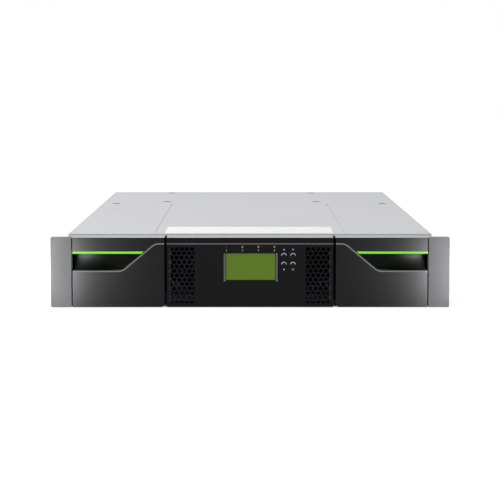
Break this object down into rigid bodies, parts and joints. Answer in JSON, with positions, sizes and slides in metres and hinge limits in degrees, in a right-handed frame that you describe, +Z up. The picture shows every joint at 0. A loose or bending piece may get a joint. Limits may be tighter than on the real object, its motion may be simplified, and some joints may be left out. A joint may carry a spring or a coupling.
{
  "type": "data tape library",
  "caption": "Low rack-mounted tape library: two pull-out cartridge magazines, a robot picker between them, a display panel with keys, and tape drives at the back.",
  "frame": {"origin": "middle of the chassis floor's front edge, on the rack plane at the back of the ears", "axes": "+X to the right seen from the front, +Y from the front to the back, +Z up"},
  "size_m": [0.4826, 0.7967, 0.0871],
  "materials": {
    "galvanised_steel": "satin",
    "grey_paint": "satin",
    "grey_plastic": "satin",
    "black_gloss_plastic": "gloss",
    "silver_trim": "satin",
    "dark_trim": "satin",
    "display_surround": "satin",
    "display_green": "satin",
    "light_pipe": "gloss",
    "light_bar_green": "gloss",
    "circuit_board": "satin",
    "key_plastic": "gloss",
    "black_plastic": "matt",
    "orange_plastic": "matt",
    "brass": "satin",
    "motor_steel": "satin",
    "polished_steel": "polished",
    "drive_casing": "satin",
    "zinc_steel": "satin",
    "port_shield": "satin"
  },
  "bodies": {
    "chassis": {"chassis_tray": "galvanised_steel", "front_frame": "grey_paint", "top_cover": "galvanised_steel", "rear_panel": "galvanised_steel", "partitions": "galvanised_steel", "cover_screws": "zinc_steel", "rack_brackets": "galvanised_steel", "left_ear": "grey_plastic", "right_ear": "grey_plastic", "centre_bezel": "black_gloss_plastic", "centre_trim": "dark_trim", "display_frame": "display_surround", "display_glass": "display_green", "status_lights": "light_pipe", "panel_board": "circuit_board", "magazine_guides": "galvanised_steel", "robot_rail": "galvanised_steel", "robot_rack": "black_plastic", "drive_sled": "galvanised_steel", "lower_tape_drive": "drive_casing", "upper_tape_drive": "drive_casing", "power_supply_case": "galvanised_steel", "power_inlet": "black_plastic", "controller_board": "circuit_board", "controller_bracket": "galvanised_steel", "rear_ports": "port_shield", "fan_housing": "black_plastic", "thumbscrews": "zinc_steel"},
    "left_magazine": {"left_magazine_front": "black_gloss_plastic", "left_trim": "silver_trim", "left_light_bar": "light_bar_green", "left_magazine_shell": "black_plastic", "left_slot_walls": "black_plastic"},
    "right_magazine": {"right_magazine_front": "black_gloss_plastic", "right_trim": "silver_trim", "right_light_bar": "light_bar_green", "right_magazine_shell": "black_plastic", "right_slot_walls": "black_plastic"},
    "left_latch": {"left_latch": "brass"},
    "right_latch": {"right_latch": "brass"},
    "up_key": {"up_key": "key_plastic"},
    "down_key": {"down_key": "key_plastic"},
    "cancel_key": {"cancel_key": "key_plastic"},
    "enter_key": {"enter_key": "key_plastic"},
    "robot": {"robot_carriage": "galvanised_steel", "robot_motors": "motor_steel"},
    "travel_pinion": {"travel_pinion": "brass"},
    "turn_pinion": {"turn_pinion": "brass"},
    "turntable": {"turntable": "black_plastic", "lift_posts": "polished_steel", "lift_motor": "motor_steel"},
    "lift_screw": {"lift_screw": "polished_steel"},
    "lift": {"lift_frame": "galvanised_steel", "barcode_reader": "black_plastic"},
    "picker": {"picker_tray": "black_plastic"},
    "gripper": {"gripper": "orange_plastic"},
    "lower_drive_door": {"lower_drive_door": "black_plastic"},
    "upper_drive_door": {"upper_drive_door": "black_plastic"},
    "power_switch": {"power_switch": "black_plastic"},
    "fan_rotor": {"fan_rotor": "black_plastic"}
  },
  "joints": [
    {"name": "left_magazine_slide", "type": "slide", "parent": "chassis", "child": "left_magazine", "axis": [0, -1, 0], "range_m": [0, 0.45]},
    {"name": "right_magazine_slide", "type": "slide", "parent": "chassis", "child": "right_magazine", "axis": [0, -1, 0], "range_m": [0, 0.45]},
    {"name": "left_latch_turn", "type": "hinge", "parent": "chassis", "child": "left_latch", "pos_m": [-0.2178, 0.418, 0.0046], "axis": [0, 0, -1], "range_deg": [0, 6]},
    {"name": "right_latch_turn", "type": "hinge", "parent": "chassis", "child": "right_latch", "pos_m": [0.2178, 0.418, 0.0046], "axis": [0, 0, 1], "range_deg": [0, 6]},
    {"name": "up_key_press", "type": "slide", "parent": "chassis", "child": "up_key", "axis": [0, 1, 0], "range_m": [0, 0.0008], "stiffness_N_per_m": 500, "springref_m": -0.0006},
    {"name": "down_key_press", "type": "slide", "parent": "chassis", "child": "down_key", "axis": [0, 1, 0], "range_m": [0, 0.0008], "stiffness_N_per_m": 500, "springref_m": -0.0006},
    {"name": "cancel_key_press", "type": "slide", "parent": "chassis", "child": "cancel_key", "axis": [0, 1, 0], "range_m": [0, 0.0008], "stiffness_N_per_m": 500, "springref_m": -0.0006},
    {"name": "enter_key_press", "type": "slide", "parent": "chassis", "child": "enter_key", "axis": [0, 1, 0], "range_m": [0, 0.0008], "stiffness_N_per_m": 500, "springref_m": -0.0006},
    {"name": "robot_travel", "type": "slide", "parent": "chassis", "child": "robot", "axis": [0, 1, 0], "range_m": [-0.15975, 0.15975]},
    {"name": "travel_pinion_spin", "type": "hinge", "parent": "robot", "child": "travel_pinion", "pos_m": [0.088, 0.3265, 0.0065], "axis": [0, 0, 1], "continuous": true},
    {"name": "robot_turn", "type": "hinge", "parent": "robot", "child": "turntable", "pos_m": [0, 0.2555, 0.0062], "axis": [0, 0, 1], "range_deg": [-90, 90]},
    {"name": "turn_pinion_spin", "type": "hinge", "parent": "robot", "child": "turn_pinion", "pos_m": [-0.06647, 0.18903, 0.0065], "axis": [0, 0, 1], "continuous": true},
    {"name": "picker_lift", "type": "slide", "parent": "turntable", "child": "lift", "axis": [0, 0, 1], "range_m": [0, 0.0479]},
    {"name": "lift_screw_spin", "type": "hinge", "parent": "turntable", "child": "lift_screw", "pos_m": [-0.0585, 0.2555, 0.04], "axis": [0, 0, 1], "continuous": true},
    {"name": "picker_extend", "type": "slide", "parent": "lift", "child": "picker", "axis": [0, 1, 0], "range_m": [0, 0.0475]},
    {"name": "gripper_slide", "type": "slide", "parent": "picker", "child": "gripper", "axis": [0, 1, 0], "range_m": [0, 0.105]},
    {"name": "lower_door_swing", "type": "hinge", "parent": "chassis", "child": "lower_drive_door", "pos_m": [0, 0.52475, 0.033], "axis": [1, 0, 0], "range_deg": [0, 85]},
    {"name": "upper_door_swing", "type": "hinge", "parent": "chassis", "child": "upper_drive_door", "pos_m": [0, 0.52475, 0.0742], "axis": [1, 0, 0], "range_deg": [0, 85]},
    {"name": "power_switch_rock", "type": "hinge", "parent": "chassis", "child": "power_switch", "pos_m": [-0.17705, 0.7582, 0.024], "axis": [1, 0, 0], "range_deg": [0, 16]},
    {"name": "fan_spin", "type": "hinge", "parent": "chassis", "child": "fan_rotor", "pos_m": [-0.1004, 0.7543, 0.024], "axis": [0, 1, 0], "continuous": true}
  ],
  "couplings": [
    {"joint": "travel_pinion_spin", "follows": "robot_travel", "rad_per_m": -125},
    {"joint": "turn_pinion_spin", "follows": "robot_turn", "ratio": -8.4},
    {"joint": "lift_screw_spin", "follows": "picker_lift", "rad_per_m": 1256.6}
  ]
}
